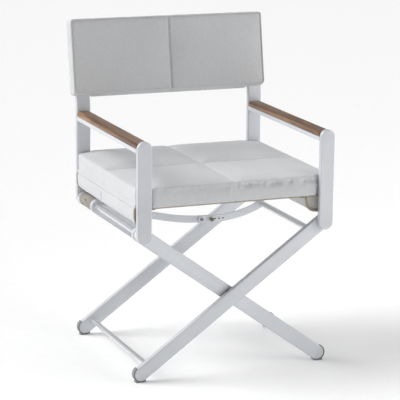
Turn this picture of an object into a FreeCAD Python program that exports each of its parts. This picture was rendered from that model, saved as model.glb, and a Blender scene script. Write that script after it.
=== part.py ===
"""Folding director chair: two upright side frames on a scissor of two leg frames.

Millimetres, +Z up.  The sitter faces -Y, and left and right are those of somebody who
looks at the chair from its front.  The origin is on the floor, under the middle of the
chair's box.
"""
import FreeCAD
import Part
import Sketcher
import math
import os

PARTS_FOLDER = "parts"
SHEET = "dims"
X_AXIS = FreeCAD.Vector(1, 0, 0)
Y_AXIS = FreeCAD.Vector(0, 1, 0)
SIDES = {"left": -1, "right": 1}
FREE = 0.3          # gap between soft pieces and what they pass
RUNNING = 0.05      # radial clearance of a turning fit
WASHER_SLACK = 0.1  # end play of washers and of the drum
SPACER_SLACK = 0.3  # end play of the spacers between crossing legs

# Driving dimensions: alias, value in millimetres or degrees, meaning.
DIMENSIONS = (
    ("centre_shift", -26.5, "y of the side frames' middle, which puts the origin under the box"),
    ("bar_width", 40.0, "flat tube of posts and legs, across"),
    ("bar_thickness", 15.0, "flat tube, front to back"),
    ("edge_round", 3.0, "rounding of the flat tube's edges"),
    ("half_span", 261.2, "from the middle to a side frame's centre line"),
    ("half_depth", 256.5, "from the side frames' middle to their outer faces"),
    ("hinge_height", 400.4, "leg hinges above the floor"),
    ("arm_height", 655.0, "top of the front posts"),
    ("foot_reach", 261.7, "from the middle to a leg's rounded foot centre"),
    ("foot_centre", 22.6, "height of a leg's rounded foot centre"),
    ("cap_radius", 22.6, "outside of a foot cap's rim"),
    ("pad_outer", 277.5, "outer end of a foot cap's flat pad"),
    ("pad_inner", 256.0, "inner end of a foot cap's flat pad"),
    ("outer_leg_gap", 1.5, "between a post and the leg of the outer frame"),
    ("leg_gap", 5.0, "between the two front legs"),
    ("inner_rear_leg", 118.0, "front face of the inner frame's rear leg, from the middle"),
    ("tube_radius", 8.0, "cross tubes"),
    ("tube_wall", 1.5, "wall of the cross tubes"),
    ("stay_tube_down", 41.0, "outer frame's upper tube, down the leg from the hinge"),
    ("foot_tube_up", 28.5, "foot tubes, up the leg from the foot centre"),
    ("pin_radius", 5.0, "hinge and crossing pins"),
    ("pin_depth", 9.0, "how far a pin enters a post or a leg"),
    ("collar_radius", 19.0, "hinge collars and spacers"),
    ("recline", 10.0, "lean of the back posts, degrees"),
    ("recline_height", 660.0, "where the lean starts"),
    ("bend_radius", 120.0, "bend of the rear posts"),
    ("back_post_top", 880.0, "top of the rear posts"),
    ("channel_height", 11.0, "arm channel"),
    ("channel_wall", 2.0, "wall of the arm channel"),
    ("arm_gap", 1.0, "teak arm, clear of the posts"),
    ("arm_tall", 14.0, "teak arm"),
    ("arm_round", 8.0, "rounding of the teak arm's upper edges"),
    ("screw_radius", 2.5, "arm screws"),
    ("rail_offset", 262.0, "seat rail from the middle"),
    ("rail_height", 462.0, "seat rail above the floor"),
    ("rail_radius", 11.0, "seat rail"),
    ("sleeve_outer", 284.0, "sling's sleeves, middle to outer side"),
    ("sleeve_inner_left", 244.0, "left sleeve, middle to inner side"),
    ("sleeve_inner_right", 209.0, "right sleeve, which hangs looser, middle to inner side"),
    ("sleeve_high", 32.5, "sling's sleeve around the rail, half height"),
    ("sling_top", 475.5, "upper face of the sling"),
    ("sling_thickness", 4.0, "sling"),
    ("seat_depth", 478.0, "sling and seat cushion between the posts, front to back"),
    ("seat_front", 249.0, "seat cushion's front face, from the side frames' middle"),
    ("seat_rear", 272.0, "seat cushion's rear face, from the side frames' middle"),
    ("seat_inner_half", 239.0, "part of the seat cushion that passes between the posts"),
    ("seat_tail_half", 272.0, "part of the seat cushion that bulges behind the rear posts"),
    ("seat_tail_deep", 14.0, "the same part, front to back"),
    ("seat_half_width", 283.0, "seat cushion, middle to side"),
    ("seat_base", 477.0, "underside of the seat cushion"),
    ("seat_thickness", 62.0, "seat cushion"),
    ("back_half_width", 286.0, "back cushion, middle to side"),
    ("back_bottom", 694.0, "back cushion's lower edge"),
    ("back_tall", 212.0, "back cushion, up the posts"),
    ("back_thickness", 44.0, "back cushion"),
    ("link_tall", 20.0, "stay links, across"),
    ("link_thickness", 5.0, "stay links"),
    ("link_plane", 102.0, "front face of the right link, from the middle"),
    ("elbow_offset", 43.3, "stay's elbow from the middle"),
    ("elbow_height", 343.5, "stay's elbow above the floor"),
    ("lock_offset", 28.7, "locking pin from the elbow"),
    ("hole_pitch", 12.1, "adjusting holes"),
    ("foot_tube_radius", 7.0, "tubes between the feet"),
)

doc = FreeCAD.newDocument("director_chair")
sheet = doc.addObject("Spreadsheet::Sheet", SHEET)
for row, (alias, number, meaning) in enumerate(DIMENSIONS, start=1):
    sheet.set("A%d" % row, meaning)
    sheet.set("B%d" % row, str(number))
    sheet.setAlias("B%d" % row, alias)
doc.recompute()
nodes = []


def size(alias):
    """A driving dimension, read back from the sheet."""
    return float(sheet.get(alias))


def expression(text):
    """The sheet's own name for each alias used in text."""
    words = sorted((alias for alias, _, _ in DIMENSIONS), key=len, reverse=True)
    for number, alias in enumerate(words):
        text = text.replace(alias, "<%d>" % number)
    for number, alias in enumerate(words):
        text = text.replace("<%d>" % number, "%s.%s" % (SHEET, alias))
    return text


def bind(item, **sizes):
    """Tie properties of a document object to formulas of driving dimensions."""
    for name, text in sizes.items():
        item.setExpression(name, expression(text))


def keep(item, label):
    """Mark a finished document object as the sub-part called label."""
    item.Label = label
    nodes.append(item)
    return item


def place(x, y, z, axis=Y_AXIS, degrees=0.0):
    return FreeCAD.Placement(FreeCAD.Vector(x, y, z), FreeCAD.Rotation(axis, degrees))


# ---- places worked out from the driving dimensions ---------------------------------------

MIDDLE = size("centre_shift")
FRONT_POST = MIDDLE - size("half_depth")
REAR_POST = MIDDLE + size("half_depth") - size("bar_thickness")
FRONT_POST_BACK = FRONT_POST + size("bar_thickness")
OUTER_FRONT = FRONT_POST_BACK + size("outer_leg_gap")
OUTER_REAR = REAR_POST - size("outer_leg_gap") - size("bar_thickness")
INNER_FRONT = OUTER_FRONT + size("bar_thickness") + size("leg_gap")
INNER_REAR = MIDDLE + size("inner_rear_leg")
ARM_BASE = size("arm_height") - size("bar_width") / 2
ARM_LENGTH = 2 * (size("half_depth") - size("bar_thickness"))
ARM_SCREW_Y = [FRONT_POST_BACK + ARM_LENGTH * share for share in (0.12, 0.5, 0.88)]
SCREW_REACH = 10.0      # of the pilot holes, into the teak
SCREW_HEAD_TALL = 3.0
HINGE_Z = size("hinge_height")
HINGE_X = size("half_span")
LEG_DROP = HINGE_Z - size("foot_centre")
LEG_RUN = HINGE_X + size("foot_reach")
LEG_LENGTH = math.hypot(LEG_RUN, LEG_DROP)
LEG_ANGLE = math.degrees(math.atan2(LEG_DROP, LEG_RUN))
LEG_LENGTH_TEXT = "sqrt(pow(half_span + foot_reach; 2) + pow(hinge_height - foot_centre; 2))"
CROSS_DISTANCE = HINGE_X / math.cos(math.radians(LEG_ANGLE))
CROSS_TEXT = "half_span / cos(atan((hinge_height - foot_centre) / (half_span + foot_reach)))"
CROSS_Z = HINGE_Z - CROSS_DISTANCE * math.sin(math.radians(LEG_ANGLE))
# A leg of frame A runs from the left hinge to the right foot, and one of B the other way.
LEG_TURN = {"a": LEG_ANGLE, "b": 180.0 - LEG_ANGLE}
LEG_HINGE_X = {"a": -HINGE_X, "b": HINGE_X}


def on_leg(frame, distance):
    """x and z of a point on a leg's centre line, distance down from its hinge."""
    turn = math.radians(LEG_TURN[frame])
    return LEG_HINGE_X[frame] + distance * math.cos(turn), HINGE_Z - distance * math.sin(turn)


# ---- shared ways of making a piece -------------------------------------------------------

def new_sketch(body, name, role, offset=0.0):
    """A sketch on one of the body's own origin planes, moved along the plane's normal."""
    sketch = body.newObject("Sketcher::SketchObject", name)
    plane = next(item for item in body.Origin.OriginFeatures if item.Role == role)
    sketch.AttachmentSupport = [(plane, "")]
    sketch.MapMode = "FlatFace"
    sketch.AttachmentOffset = place(0, 0, offset)
    return sketch


def add_circle(sketch, number, along, radius):
    """A circle on the sketch's x axis, its place and radius bound to formulas."""
    centre = FreeCAD.Vector(1.0 + number, 0, 0)
    circle = sketch.addGeometry(Part.Circle(centre, FreeCAD.Vector(0, 0, 1), 1.0), False)
    sketch.addConstraint(Sketcher.Constraint("PointOnObject", circle, 3, -1))
    place_index = sketch.addConstraint(Sketcher.Constraint("DistanceX", -1, 1, circle, 3, centre.x))
    radius_index = sketch.addConstraint(Sketcher.Constraint("Radius", circle, 1.0))
    sketch.setExpression("Constraints[%d]" % place_index, expression(along))
    sketch.setExpression("Constraints[%d]" % radius_index, expression(radius))


def add_slot(sketch, length, radius):
    """A slot outline from the sketch's origin along x, with fully rounded ends."""
    up, right, half = FreeCAD.Vector(0, 0, 1), 10.0, math.pi / 2
    near = sketch.addGeometry(
        Part.ArcOfCircle(Part.Circle(FreeCAD.Vector(0, 0, 0), up, 1.0), half, 3 * half), False)
    far = sketch.addGeometry(
        Part.ArcOfCircle(Part.Circle(FreeCAD.Vector(right, 0, 0), up, 1.0), -half, half), False)
    low = sketch.addGeometry(
        Part.LineSegment(FreeCAD.Vector(0, -1, 0), FreeCAD.Vector(right, -1, 0)), False)
    high = sketch.addGeometry(
        Part.LineSegment(FreeCAD.Vector(right, 1, 0), FreeCAD.Vector(0, 1, 0)), False)
    for first, first_end, second, second_end in (
            (near, 2, low, 1), (low, 2, far, 1), (far, 2, high, 1), (high, 2, near, 1)):
        sketch.addConstraint(Sketcher.Constraint("Tangent", first, first_end, second, second_end))
    sketch.addConstraint(Sketcher.Constraint("Coincident", near, 3, -1, 1))
    sketch.addConstraint(Sketcher.Constraint("PointOnObject", far, 3, -1))
    sketch.addConstraint(Sketcher.Constraint("Equal", near, far))
    length_index = sketch.addConstraint(Sketcher.Constraint("DistanceX", -1, 1, far, 3, right))
    radius_index = sketch.addConstraint(Sketcher.Constraint("Radius", near, 1.0))
    sketch.setExpression("Constraints[%d]" % length_index, expression(length))
    sketch.setExpression("Constraints[%d]" % radius_index, expression(radius))


def round_rims(body, feature, is_rim):
    """Round the edges of a padded bar that is_rim picks, by the flat tube's edge radius."""
    doc.recompute()
    names = ["Edge%d" % number for number, edge in enumerate(feature.Shape.Edges, start=1)
             if is_rim(edge)]
    fillet = body.newObject("PartDesign::Fillet", feature.Name + "_round")
    fillet.Base = (feature, names)
    bind(fillet, Radius="edge_round")
    return fillet


def is_bar_rim(edge):
    """True for an edge around a flat face of a bar, but not for a drilled hole's rim."""
    flat = abs(edge.BoundBox.YLength) < 1e-6
    drilled = isinstance(edge.Curve, Part.Circle) and edge.Curve.Radius < size("bar_width") / 4
    return flat and not drilled


def flat_bar(label, length, holes):
    """A flat tube with round ends: from its own origin along x, padded towards +y."""
    body = doc.addObject("PartDesign::Body", label)
    sketch = new_sketch(body, label + "_outline", "XZ_Plane")
    add_slot(sketch, length, "bar_width / 2")
    for number, (along, radius) in enumerate(holes):
        add_circle(sketch, number, along, radius)
    pad = body.newObject("PartDesign::Pad", label + "_pad")
    pad.Profile = sketch
    pad.Reversed = True
    bind(pad, Length="bar_thickness")
    round_rims(body, pad, is_bar_rim)
    return body


def blind_hole(body, along, radius, depth, from_back):
    """Drill a bar partly through, from its back (+y) or front face, and prove that it cut."""
    doc.recompute()
    before = body.Shape.Volume
    offset = -size("bar_thickness") if from_back else 0.0
    sketch = new_sketch(body, body.Name + "_drill", "XZ_Plane", offset)
    add_circle(sketch, 0, along, radius)
    pocket = body.newObject("PartDesign::Pocket", body.Name + "_pocket")
    pocket.Profile = sketch
    pocket.Reversed = from_back
    bind(pocket, Length=depth)
    doc.recompute()
    if body.Shape.Volume > before - 1.0:
        raise RuntimeError("nothing was drilled in " + body.Label)


def rod(label, x, y, z, radius, length):
    """A plain round bar along y."""
    cylinder = doc.addObject("Part::Cylinder", label)
    bind(cylinder, Radius=radius, Height=length)
    cylinder.Placement = place(x, y, z, X_AXIS, -90.0)
    return cylinder


def ring(label, x, y, z, outer, inner, length):
    """A round tube, collar or washer along y."""
    cut = doc.addObject("Part::Cut", label)
    cut.Base = rod(label + "_outside", x, y, z, outer, length)
    cut.Tool = rod(label + "_bore", x, y, z, inner, length)
    return cut


def group(label, pieces):
    """Several separate solids of one kind in one sub-part."""
    compound = doc.addObject("Part::Compound", label)
    compound.Links = pieces
    return keep(compound, label)


# ---- side frames --------------------------------------------------------------------------

def front_post(side):
    label = "front_post_" + side
    body = flat_bar(label, "arm_height - hinge_height - bar_width / 2", [])
    blind_hole(body, "0", "pin_radius", "pin_depth", True)
    body.Placement = place(SIDES[side] * HINGE_X, FRONT_POST, HINGE_Z, Y_AXIS, -90.0)
    keep(body, label)


def rear_post(side):
    """The taller post: upright to the arm, then leaning back inside the back cushion."""
    label = "rear_post_" + side
    thick = size("bar_thickness")
    lean = math.radians(size("recline"))
    half = size("bar_width") / 2
    low = HINGE_Z - half
    start = size("recline_height")
    radius = size("bend_radius")
    bend = FreeCAD.Vector(0, radius, start)      # centre of the bend, behind the post
    rise = (size("back_post_top") - start) / math.cos(lean) - radius * math.tan(lean)

    def at(reach, angle):
        return bend + FreeCAD.Vector(0, -reach * math.cos(angle), reach * math.sin(angle))

    along = FreeCAD.Vector(0, math.sin(lean), math.cos(lean))
    front_top = at(radius, lean) + along * rise
    back_top = at(radius - thick, lean) + along * rise
    edges = [
        Part.LineSegment(FreeCAD.Vector(0, 0, low), at(radius, 0)),
        Part.Arc(at(radius, 0), at(radius, lean / 2), at(radius, lean)),
        Part.LineSegment(at(radius, lean), front_top),
        Part.LineSegment(front_top, back_top),
        Part.LineSegment(back_top, at(radius - thick, lean)),
        Part.Arc(at(radius - thick, lean), at(radius - thick, lean / 2), at(radius - thick, 0)),
        Part.LineSegment(at(radius - thick, 0), FreeCAD.Vector(0, thick, low)),
        Part.LineSegment(FreeCAD.Vector(0, thick, low), FreeCAD.Vector(0, 0, low)),
    ]
    profile = Part.Face(Part.Wire([edge.toShape() for edge in edges]))
    strip = profile.extrude(X_AXIS * 2 * half)
    strip.translate(X_AXIS * -half)
    corners = [edge for edge in strip.Edges if is_post_end_corner(edge, half, low, front_top.z)]
    rounded = strip.makeFillet(half - 0.01, corners)
    rims = [edge for edge in rounded.Edges if is_post_rim(edge, thick)]
    shape = rounded.makeFillet(size("edge_round"), rims)
    hole = Part.makeCylinder(size("pin_radius"), size("pin_depth"),
                             FreeCAD.Vector(0, 0, HINGE_Z), Y_AXIS)
    post = doc.addObject("Part::Feature", label)
    post.Shape = shape.cut(hole)
    post.Placement = place(SIDES[side] * HINGE_X, REAR_POST, 0)
    keep(post, label)


def is_post_end_corner(edge, half, low, high):
    """True for the four edges, front to back, where a rear post's ends meet its sides."""
    box = edge.BoundBox
    across = abs(abs(box.XMin) - half) < 1e-6 and box.XLength < 1e-6
    at_end = box.ZMax < low + 1e-6 or box.ZMin > high - size("bar_thickness")
    return across and at_end and box.YLength > size("bar_thickness") / 2


def is_post_rim(edge, thick):
    """False only for the short edges that run from the post's front face to its back."""
    box = edge.BoundBox
    return not (box.XLength < 1e-6 and abs(box.YLength - thick) < 1.0 and box.ZLength < thick)


def arm_channel(side):
    """A shallow channel between the posts, open below, that carries the teak arm."""
    label = "arm_channel_" + side
    body = doc.addObject("PartDesign::Body", label)
    half = size("bar_width") / 2
    tall = size("channel_height")
    wall = size("channel_wall")
    corners = [(-half, 0), (-half, -tall), (-half + wall, -tall), (-half + wall, -wall),
               (half - wall, -wall), (half - wall, -tall), (half, -tall), (half, 0)]
    sketch = new_sketch(body, label + "_section", "XZ_Plane")
    count = len(corners)
    for number, (x, z) in enumerate(corners):
        end_x, end_z = corners[(number + 1) % count]
        sketch.addGeometry(Part.LineSegment(FreeCAD.Vector(x, z, 0),
                                            FreeCAD.Vector(end_x, end_z, 0)), False)
    for number in range(count):
        sketch.addConstraint(Sketcher.Constraint("Coincident", number, 2, (number + 1) % count, 1))
        direction = "Vertical" if number % 2 == 0 else "Horizontal"
        if number < count - 1:
            sketch.addConstraint(Sketcher.Constraint(direction, number))
    sketch.addConstraint(Sketcher.Constraint("Symmetric", 0, 1, count - 1, 1, -2))
    sketch.addConstraint(Sketcher.Constraint("PointOnObject", 0, 1, -1))
    sketch.addConstraint(Sketcher.Constraint("Equal", 0, 6))
    sketch.addConstraint(Sketcher.Constraint("Equal", 1, 5))
    for kind, line, value, text in (("DistanceX", 7, -2 * half, "-bar_width"),
                                    ("DistanceY", 0, -tall, "-channel_height"),
                                    ("DistanceX", 1, wall, "channel_wall"),
                                    ("DistanceY", 2, tall - wall,
                                     "channel_height - channel_wall")):
        index = sketch.addConstraint(Sketcher.Constraint(kind, line, 1, line, 2, value))
        sketch.setExpression("Constraints[%d]" % index, expression(text))
    pad = body.newObject("PartDesign::Pad", label + "_pad")
    pad.Profile = sketch
    pad.Reversed = True
    bind(pad, Length="2 * half_depth - 2 * bar_thickness")
    drill = body.newObject("Sketcher::SketchObject", label + "_drill")
    plane = next(item for item in body.Origin.OriginFeatures if item.Role == "XY_Plane")
    drill.AttachmentSupport = [(plane, "")]
    drill.MapMode = "FlatFace"
    for number, y in enumerate(ARM_SCREW_Y):
        centre = FreeCAD.Vector(0, y - FRONT_POST_BACK, 0)
        circle = drill.addGeometry(Part.Circle(centre, FreeCAD.Vector(0, 0, 1), 1.0), False)
        drill.addConstraint(Sketcher.Constraint("PointOnObject", circle, 3, -2))
        drill.addConstraint(Sketcher.Constraint("DistanceY", -1, 1, circle, 3, centre.y))
        index = drill.addConstraint(Sketcher.Constraint("Radius", circle, 1.0))
        drill.setExpression("Constraints[%d]" % index, expression("screw_radius"))
    pocket = body.newObject("PartDesign::Pocket", label + "_holes")
    pocket.Profile = drill
    bind(pocket, Length="2 * channel_wall")
    body.Placement = place(SIDES[side] * HINGE_X, FRONT_POST_BACK, ARM_BASE)
    keep(body, label)


def armrest(side):
    """Teak arm with a rounded top, drilled from below for its screws."""
    label = "armrest_" + side
    x = SIDES[side] * HINGE_X
    plank = doc.addObject("Part::Box", label + "_plank")
    bind(plank, Length="bar_width", Height="arm_tall",
         Width="2 * half_depth - 2 * bar_thickness - 2 * arm_gap")
    plank.Placement = place(x - size("bar_width") / 2, FRONT_POST_BACK + size("arm_gap"), ARM_BASE)
    doc.recompute()
    long_top = [number for number, edge in enumerate(plank.Shape.Edges, start=1)
                if edge.BoundBox.ZMin > ARM_BASE + 1 and edge.BoundBox.YLength > ARM_LENGTH / 2]
    rounded = doc.addObject("Part::Fillet", label + "_rounded")
    rounded.Base = plank
    rounded.Edges = [(number, size("arm_round"), size("arm_round")) for number in long_top]
    pilots = doc.addObject("Part::Compound", label + "_pilots")
    pilots.Links = [upright(label + "_pilot", x, y, ARM_BASE - 1, "screw_radius", SCREW_REACH + 1)
                    for y in ARM_SCREW_Y]
    arm = doc.addObject("Part::Cut", label)
    arm.Base = rounded
    arm.Tool = pilots
    keep(arm, label)


def upright(label, x, y, z, radius, length):
    """A plain round bar along z."""
    cylinder = doc.addObject("Part::Cylinder", label)
    bind(cylinder, Radius=radius)
    cylinder.Height = length
    cylinder.Placement = place(x, y, z)
    return cylinder


def arm_screws(side):
    """Screws from below, through the channel's web into the teak."""
    x = SIDES[side] * HINGE_X
    web = ARM_BASE - size("channel_wall")
    screws = []
    for y in ARM_SCREW_Y:
        shank = upright("arm_screw_shank", x, y, web, "screw_radius",
                        SCREW_REACH + size("channel_wall") - 1)
        head = upright("arm_screw_head", x, y, web - SCREW_HEAD_TALL, "screw_radius * 1.8",
                       SCREW_HEAD_TALL)
        screw = doc.addObject("Part::Fuse", "arm_screw")
        screw.Base = shank
        screw.Tool = head
        screws.append(screw)
    group("arm_screws_" + side, screws)


def seat_rail(side):
    """Round rail between the posts, inside the sling's sleeve."""
    label = "seat_rail_" + side
    rail = ring(label, SIDES[side] * size("rail_offset"), FRONT_POST_BACK, size("rail_height"),
                "rail_radius", "rail_radius - tube_wall", "2 * half_depth - 2 * bar_thickness")
    keep(rail, label)


# ---- leg frames ---------------------------------------------------------------------------

OUTER_TUBE_TEXT = "2 * half_depth - 4 * bar_thickness - 2 * outer_leg_gap"
INNER_TUBE_TEXT = ("inner_rear_leg + half_depth - 3 * bar_thickness"
                   " - outer_leg_gap - leg_gap")
COLLAR_WALL = 3.0       # of the rings at a foot tube's ends
COLLAR_LONG = 6.0
PAD_TALL = 8.0          # of a foot cap's pad


def leg(frame, where, y):
    """One leg: a hinge hole, and a hole for the pin where the two frames cross."""
    label = "leg_%s_%s" % (frame, where)
    fit = " + %s" % RUNNING
    holes = [("0", "pin_radius" + fit)]
    if frame == "a":
        holes.append((CROSS_TEXT, "pin_radius"))
    body = flat_bar(label, LEG_LENGTH_TEXT, holes)
    if frame == "b":
        blind_hole(body, CROSS_TEXT, "pin_radius" + fit, "pin_depth + 2", where == "front")
    x, z = on_leg(frame, 0.0)
    body.Placement = place(x, y, z, Y_AXIS, LEG_TURN[frame])
    keep(body, label)


def cross_tube(label, frame, distance, radius, start, length):
    """A tube between the two legs of a frame, at a distance down from their hinge."""
    x, z = on_leg(frame, distance)
    keep(ring(label, x, start, z, radius, radius + " - tube_wall", length), label)


def cross_tubes():
    """Two tubes hold each leg frame's pair of legs apart: one high, one by the feet."""
    low = LEG_LENGTH - size("foot_tube_up")
    outer_start = OUTER_FRONT + size("bar_thickness")
    inner_start = INNER_FRONT + size("bar_thickness")
    cross_tube("hinge_tube_a", "a", 0.0, "tube_radius", inner_start, INNER_TUBE_TEXT)
    cross_tube("foot_tube_a", "a", low, "foot_tube_radius", inner_start, INNER_TUBE_TEXT)
    cross_tube("stay_tube_b", "b", size("stay_tube_down"), "tube_radius", outer_start,
               OUTER_TUBE_TEXT)
    cross_tube("foot_tube_b", "b", low, "foot_tube_radius", outer_start, OUTER_TUBE_TEXT)
    foot_collars("a", low, inner_start, INNER_REAR)
    foot_collars("b", low, outer_start, OUTER_REAR)


def foot_collars(frame, distance, front, rear):
    """Rings that seat a foot tube's two ends against its legs."""
    x, z = on_leg(frame, distance)
    group("foot_collars_" + frame,
          [ring("foot_collar", x, y, z, "foot_tube_radius + %s" % COLLAR_WALL, "foot_tube_radius",
                str(COLLAR_LONG)) for y in (front, rear - COLLAR_LONG)])


def foot_cap(frame, where, y):
    """Plastic cap: a rim around the leg's rounded foot, and a flat pad on the floor."""
    side = "left" if frame == "b" else "right"
    label = "foot_cap_%s_%s" % (where, side)
    sign = SIDES[side]
    x = sign * size("foot_reach")
    z = size("foot_centre")
    rim = rod(label + "_rim", x, y, z, "cap_radius", "bar_thickness")
    rim.Angle = 180
    rim.Placement = FreeCAD.Placement(FreeCAD.Vector(x, y, z), cap_turn(sign))
    pad = doc.addObject("Part::Box", label + "_pad")
    bind(pad, Length="pad_outer - pad_inner", Width="bar_thickness")
    pad.Height = PAD_TALL
    pad.Placement = place(min(sign * size("pad_outer"), sign * size("pad_inner")), y, 0)
    solid = doc.addObject("Part::Fuse", label + "_solid")
    solid.Base = rim
    solid.Tool = pad
    cap = doc.addObject("Part::Cut", label)
    cap.Base = solid
    cap.Tool = rod(label + "_seat", x, y, z, "bar_width / 2 + %s" % RUNNING, "bar_thickness")
    keep(cap, label)


def cap_turn(sign):
    """Turn a half disc, which starts along its own x axis, so that it covers the foot."""
    lay_down = FreeCAD.Rotation(X_AXIS, -90.0)
    downhill = LEG_ANGLE if sign > 0 else 180.0 - LEG_ANGLE
    aim = FreeCAD.Rotation(Y_AXIS, downhill - 90.0)
    return aim.multiply(lay_down)


# ---- hinges and crossings -------------------------------------------------------------------

SET_SCREW_RADIUS = 3.0
SET_SCREW_TURN = -65.0      # degrees from straight up, towards the outside
PIN_HEAD_RADIUS = "pin_radius * 1.6"
PIN_HEAD_THICK = 3.0


def hinge_pins():
    """Each pin is blind in its post, so nothing shows on the posts' outer faces."""
    front_start = FRONT_POST_BACK - size("pin_depth")
    through_a = "pin_depth + outer_leg_gap + 2 * bar_thickness + leg_gap"
    through_b = "pin_depth + outer_leg_gap + bar_thickness"
    to_inner_rear = "half_depth - bar_thickness - inner_rear_leg + pin_depth"
    for label, x, y, length in (("front_left", -HINGE_X, front_start, through_a),
                                ("front_right", HINGE_X, front_start, through_b),
                                ("rear_left", -HINGE_X, INNER_REAR, to_inner_rear),
                                ("rear_right", HINGE_X, OUTER_REAR, through_b)):
        name = "hinge_pin_" + label
        keep(rod(name, x, y, HINGE_Z, "pin_radius", length), name)


def hinge_spacers():
    """Collars and washers that fill the hinges between the posts and the legs."""
    left, right = -HINGE_X, HINGE_X
    bore = "pin_radius + %s" % RUNNING
    back_of_inner = INNER_REAR + size("bar_thickness")
    slack = WASHER_SLACK
    keep(ring("hinge_spacer_front_left", left, FRONT_POST_BACK, HINGE_Z, "collar_radius - 2", bore,
              "outer_leg_gap + bar_thickness + leg_gap - %s" % slack), "hinge_spacer_front_left")
    keep(ring("hinge_washer_front_right", right, FRONT_POST_BACK, HINGE_Z, "collar_radius - 1",
              bore, "outer_leg_gap - %s" % slack), "hinge_washer_front_right")
    keep(ring("hinge_washer_rear_right", right, REAR_POST - size("outer_leg_gap") + slack, HINGE_Z,
              "collar_radius - 1", bore, "outer_leg_gap - %s" % slack),
         "hinge_washer_rear_right")
    keep(ring("hinge_ring_rear_left", left, OUTER_REAR, HINGE_Z, "collar_radius + 0.6", bore,
              "bar_thickness + outer_leg_gap"), "hinge_ring_rear_left")
    drum = ring("hinge_drum_blank", left, back_of_inner + slack, HINGE_Z, "collar_radius", bore,
                "half_depth - 3 * bar_thickness - outer_leg_gap - inner_rear_leg - %s" % slack)
    hole = doc.addObject("Part::Cylinder", "set_screw_hole")
    hole.Radius = SET_SCREW_RADIUS
    bind(hole, Height="collar_radius")
    middle = (back_of_inner + OUTER_REAR) / 2
    hole.Placement = place(left, middle, HINGE_Z, Y_AXIS, SET_SCREW_TURN)
    drilled = doc.addObject("Part::Cut", "hinge_drum_rear_left")
    drilled.Base = drum
    drilled.Tool = hole
    keep(drilled, "hinge_drum_rear_left")


def set_screw():
    """Grub screw in the drum, which clamps it on its pin."""
    middle = (INNER_REAR + size("bar_thickness") + OUTER_REAR) / 2
    turn = FreeCAD.Rotation(Y_AXIS, SET_SCREW_TURN)
    start = turn.multVec(FreeCAD.Vector(0, 0, size("pin_radius") + 1.0))
    grub = doc.addObject("Part::Cylinder", "drum_set_screw")
    grub.Radius = SET_SCREW_RADIUS - RUNNING
    bind(grub, Height="(collar_radius - pin_radius) / 2")
    grub.Placement = FreeCAD.Placement(
        FreeCAD.Vector(-HINGE_X, middle, HINGE_Z) + start, turn)
    keep(grub, "drum_set_screw")


def crossing_pins():
    """Headed pins where the frames cross, blind in the outer legs."""
    slack = SPACER_SLACK
    thick = size("bar_thickness")
    span = thick + size("leg_gap") + size("pin_depth")
    front_start = OUTER_FRONT + thick - size("pin_depth")
    shank = rod("cross_shank_front", 0, front_start, CROSS_Z, "pin_radius",
                "bar_thickness + leg_gap + pin_depth")
    head = rod("cross_head_front", 0, front_start + span, CROSS_Z, PIN_HEAD_RADIUS,
               str(PIN_HEAD_THICK))
    front = doc.addObject("Part::Fuse", "cross_pin_front")
    front.Base = shank
    front.Tool = head
    keep(front, "cross_pin_front")
    shank = rod("cross_shank_rear", 0, INNER_REAR, CROSS_Z, "pin_radius",
                "half_depth - 2 * bar_thickness - outer_leg_gap - inner_rear_leg + pin_depth")
    head = rod("cross_head_rear", 0, INNER_REAR - PIN_HEAD_THICK, CROSS_Z, PIN_HEAD_RADIUS,
               str(PIN_HEAD_THICK))
    rear = doc.addObject("Part::Fuse", "cross_pin_rear")
    rear.Base = shank
    rear.Tool = head
    keep(rear, "cross_pin_rear")
    bore = "pin_radius + %s" % RUNNING
    keep(ring("cross_spacer_front", 0, OUTER_FRONT + thick + slack, CROSS_Z, "collar_radius",
              bore, "leg_gap - %s" % slack), "cross_spacer_front")
    keep(ring("cross_spacer_rear", 0, INNER_REAR + thick, CROSS_Z, "collar_radius - 8", bore,
              "half_depth - 3 * bar_thickness - outer_leg_gap - inner_rear_leg - %s" % slack),
         "cross_spacer_rear")


# ---- folding stay ----------------------------------------------------------------------------

LINK_GAP = 1.0
STAY_SLOPE = 12.35          # of the left link's straight run, degrees
STRAIGHT_SHARE = 0.65       # part of the left link's reach that is straight
RIVET_RADIUS = 3.0
RIVET_HEAD_RADIUS = 4.5
RIVET_HEAD_TALL = 2.5
LOCK_RADIUS = 3.0
LOCK_STEM = 5.5             # bare pin between knob and link, which is the pin's stroke
KNOB_RADIUS = 5.5
KNOB_LONG = 4.0
ADJUST_RADIUS = 2.2


def link_face(start, corner, arc_end, tail):
    """Outline of a flat link with round ends, standing in the x-z plane.

    It runs straight from start to corner, then along one arc to arc_end, and then straight
    on by tail.  The arc is tangent to the first run, so its radius follows from the points.
    """
    run = corner - start
    run.normalize()
    chord = arc_end - corner
    across = FreeCAD.Vector(-run.z, 0, run.x)
    radius = chord.dot(chord) / (2 * chord.dot(across))
    centre = corner + across * radius
    sweep = 2 * math.asin(chord.Length / (2 * radius))
    half = size("link_tall") / 2

    def on_arc(reach, share):
        angle = sweep * share
        return centre + (run * math.sin(angle) - across * math.cos(angle)) * reach

    last_run = run * math.cos(sweep) + across * math.sin(sweep)
    last_across = across * math.cos(sweep) - run * math.sin(sweep)
    end = arc_end + last_run * tail
    edges = [
        Part.LineSegment(start - across * half, corner - across * half),
        Part.Arc(*[on_arc(radius + half, share) for share in (0.0, 0.5, 1.0)]),
        Part.LineSegment(arc_end - last_across * half, end - last_across * half),
        Part.Arc(end - last_across * half, end + last_run * half, end + last_across * half),
        Part.LineSegment(end + last_across * half, arc_end + last_across * half),
        Part.Arc(*[on_arc(radius - half, share) for share in (1.0, 0.5, 0.0)]),
        Part.LineSegment(corner + across * half, start + across * half),
        Part.Arc(start + across * half, start - run * half, start - across * half),
    ]
    return Part.Face(Part.Wire([edge.toShape() for edge in edges]))


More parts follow.
